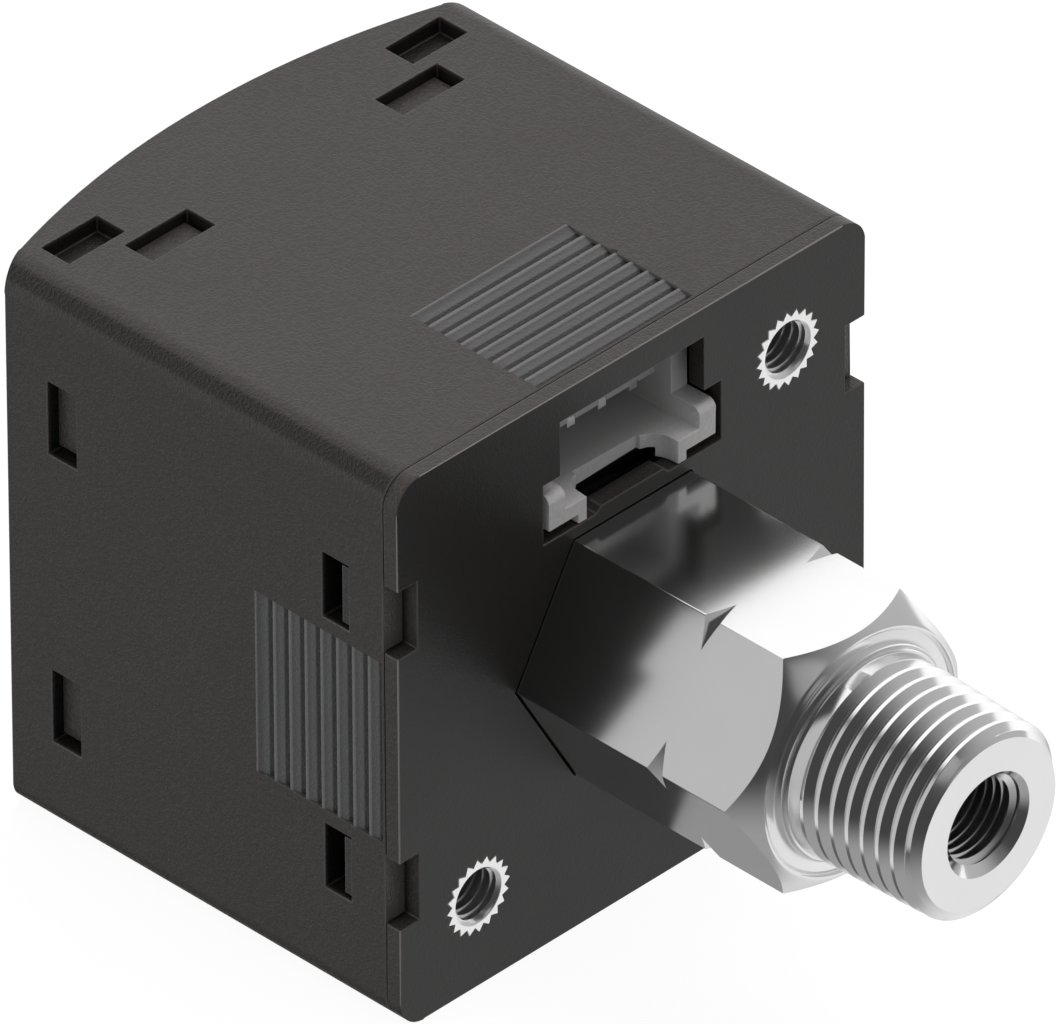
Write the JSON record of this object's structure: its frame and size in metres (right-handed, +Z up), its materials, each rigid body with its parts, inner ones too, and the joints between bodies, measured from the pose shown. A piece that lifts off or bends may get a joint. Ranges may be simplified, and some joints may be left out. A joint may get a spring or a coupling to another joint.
{
  "type": "pressure sensor",
  "caption": "Compact digital pressure sensor with a square moulded case, front display and keys, rear wire socket, threaded inserts and a hexagonal pipe port.",
  "frame": {"origin": "on the port axis, at the shoulder where the process thread begins", "axes": "+Y along the port axis, out of the port; the display faces -Y; +Z up, on the side of the wire socket"},
  "size_m": [0.03, 0.0497, 0.03],
  "materials": {
    "case_plastic": "fine moulded grain",
    "cover_plastic": "fine moulded grain",
    "plated_brass": "bright nickel plate",
    "insert_brass": "bright nickel plate",
    "connector_plastic": "satin",
    "pin_metal": "tinned",
    "board": "solder mask",
    "chip": "moulded",
    "ceramic": "fired",
    "capacitor": "fired",
    "rubber": "moulded",
    "spring_steel": "bright",
    "inner_plastic": "moulded",
    "diffuser": "satin",
    "led": "moulded",
    "lcd": "polished",
    "lens": "polished, smoked",
    "key_plastic": "satin"
  },
  "bodies": {
    "case": {"housing": "case_plastic", "rear_cover": "cover_plastic", "front_frame": "case_plastic", "thread_inserts": "insert_brass", "port_fitting": "plated_brass", "port_gasket": "rubber", "port_clip": "spring_steel", "cell_seal": "rubber", "sensor_cell": "ceramic", "cell_cap": "inner_plastic", "cell_pins": "pin_metal", "connector_header": "connector_plastic", "connector_pins": "pin_metal", "main_board": "board", "display_board": "board", "controller_chip": "chip", "amplifier_chip": "chip", "board_capacitors": "capacitor", "board_link": "chip", "link_pins": "pin_metal", "key_switches": "chip", "light_guide": "diffuser", "backlight_leds": "led", "lcd_contacts": "rubber", "lcd_glass": "lcd", "display_holder": "inner_plastic", "display_window": "lens"},
    "key_left_body": {"key_left": "key_plastic", "plunger_left": "inner_plastic"},
    "key_middle_body": {"key_middle": "key_plastic", "plunger_middle": "inner_plastic"},
    "key_right_body": {"key_right": "key_plastic", "plunger_right": "inner_plastic"}
  },
  "joints": [
    {"name": "key_left_press", "type": "slide", "parent": "case", "child": "key_left_body", "axis": [0, 1, 0], "range_m": [0, 0.0003], "stiffness_N_per_m": 800},
    {"name": "key_middle_press", "type": "slide", "parent": "case", "child": "key_middle_body", "axis": [0, 1, 0], "range_m": [0, 0.0003], "stiffness_N_per_m": 800},
    {"name": "key_right_press", "type": "slide", "parent": "case", "child": "key_right_body", "axis": [0, 1, 0], "range_m": [0, 0.0003], "stiffness_N_per_m": 800}
  ]
}
